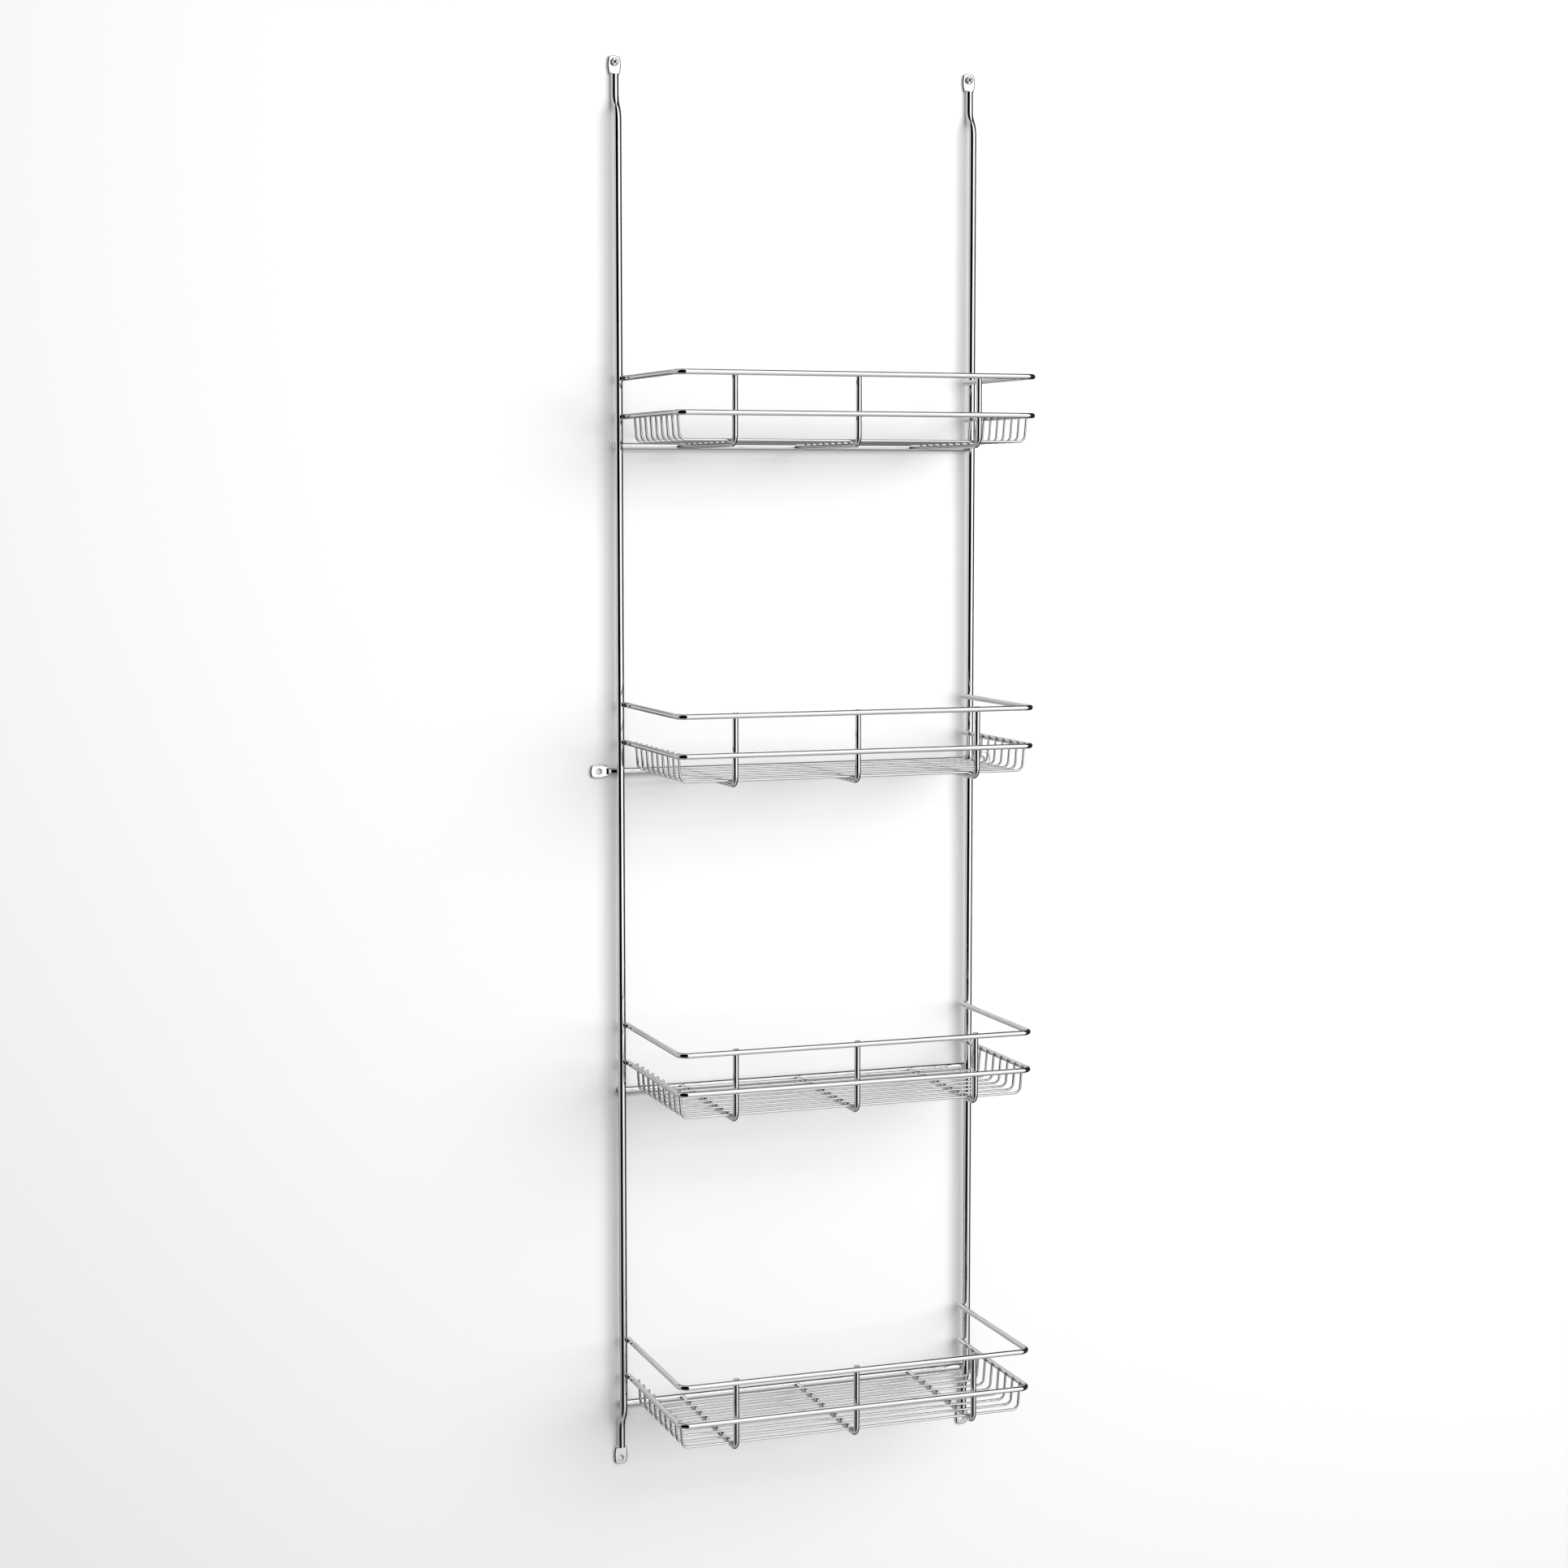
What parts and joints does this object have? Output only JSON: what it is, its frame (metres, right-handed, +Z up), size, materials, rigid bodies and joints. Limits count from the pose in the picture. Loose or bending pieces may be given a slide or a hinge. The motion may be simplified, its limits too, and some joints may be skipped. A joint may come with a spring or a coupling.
{
  "type": "over the toilet storage rack",
  "caption": "Wall rack of bright plated rod: uprights with pressed screw lugs carry open wire baskets one above another over a toilet.",
  "frame": {"origin": "on the wall surface, midway between the two bottom screw holes", "axes": "+Z up along the uprights, +X to the right seen from the front, -Y out of the wall towards the front"},
  "size_m": [0.404, 0.2018, 1.314],
  "materials": {
    "chrome_frame": "bright chrome plating on round rod",
    "chrome_rail": "bright chrome plating on bent rod",
    "chrome_wire": "bright chrome plating on thin wire",
    "zinc_screw": "bright plated pan head screw"
  },
  "bodies": {
    "root": {"upright_left": "chrome_frame", "upright_right": "chrome_frame", "wall_screws": "zinc_screw", "basket_1_back_bar": "chrome_frame", "basket_2_back_bar": "chrome_frame", "basket_3_back_bar": "chrome_frame", "basket_4_back_bar": "chrome_frame", "basket_1_upper_rail": "chrome_rail", "basket_2_upper_rail": "chrome_rail", "basket_3_upper_rail": "chrome_rail", "basket_4_upper_rail": "chrome_rail", "basket_1_lower_rail": "chrome_rail", "basket_2_lower_rail": "chrome_rail", "basket_3_lower_rail": "chrome_rail", "basket_4_lower_rail": "chrome_rail", "basket_1_supports": "chrome_rail", "basket_2_supports": "chrome_rail", "basket_3_supports": "chrome_rail", "basket_4_supports": "chrome_rail", "basket_1_floor_wire_1": "chrome_wire", "basket_1_floor_wire_2": "chrome_wire", "basket_1_floor_wire_3": "chrome_wire", "basket_1_floor_wire_4": "chrome_wire", "basket_1_floor_wire_5": "chrome_wire", "basket_1_floor_wire_6": "chrome_wire", "basket_1_floor_wire_7": "chrome_wire", "basket_1_floor_wire_8": "chrome_wire", "basket_1_floor_wire_9": "chrome_wire", "basket_2_floor_wire_1": "chrome_wire", "basket_2_floor_wire_2": "chrome_wire", "basket_2_floor_wire_3": "chrome_wire", "basket_2_floor_wire_4": "chrome_wire", "basket_2_floor_wire_5": "chrome_wire", "basket_2_floor_wire_6": "chrome_wire", "basket_2_floor_wire_7": "chrome_wire", "basket_2_floor_wire_8": "chrome_wire", "basket_2_floor_wire_9": "chrome_wire", "basket_3_floor_wire_1": "chrome_wire", "basket_3_floor_wire_2": "chrome_wire", "basket_3_floor_wire_3": "chrome_wire", "basket_3_floor_wire_4": "chrome_wire", "basket_3_floor_wire_5": "chrome_wire", "basket_3_floor_wire_6": "chrome_wire", "basket_3_floor_wire_7": "chrome_wire", "basket_3_floor_wire_8": "chrome_wire", "basket_3_floor_wire_9": "chrome_wire", "basket_4_floor_wire_1": "chrome_wire", "basket_4_floor_wire_2": "chrome_wire", "basket_4_floor_wire_3": "chrome_wire", "basket_4_floor_wire_4": "chrome_wire", "basket_4_floor_wire_5": "chrome_wire", "basket_4_floor_wire_6": "chrome_wire", "basket_4_floor_wire_7": "chrome_wire", "basket_4_floor_wire_8": "chrome_wire", "basket_4_floor_wire_9": "chrome_wire"}
  },
  "joints": []
}
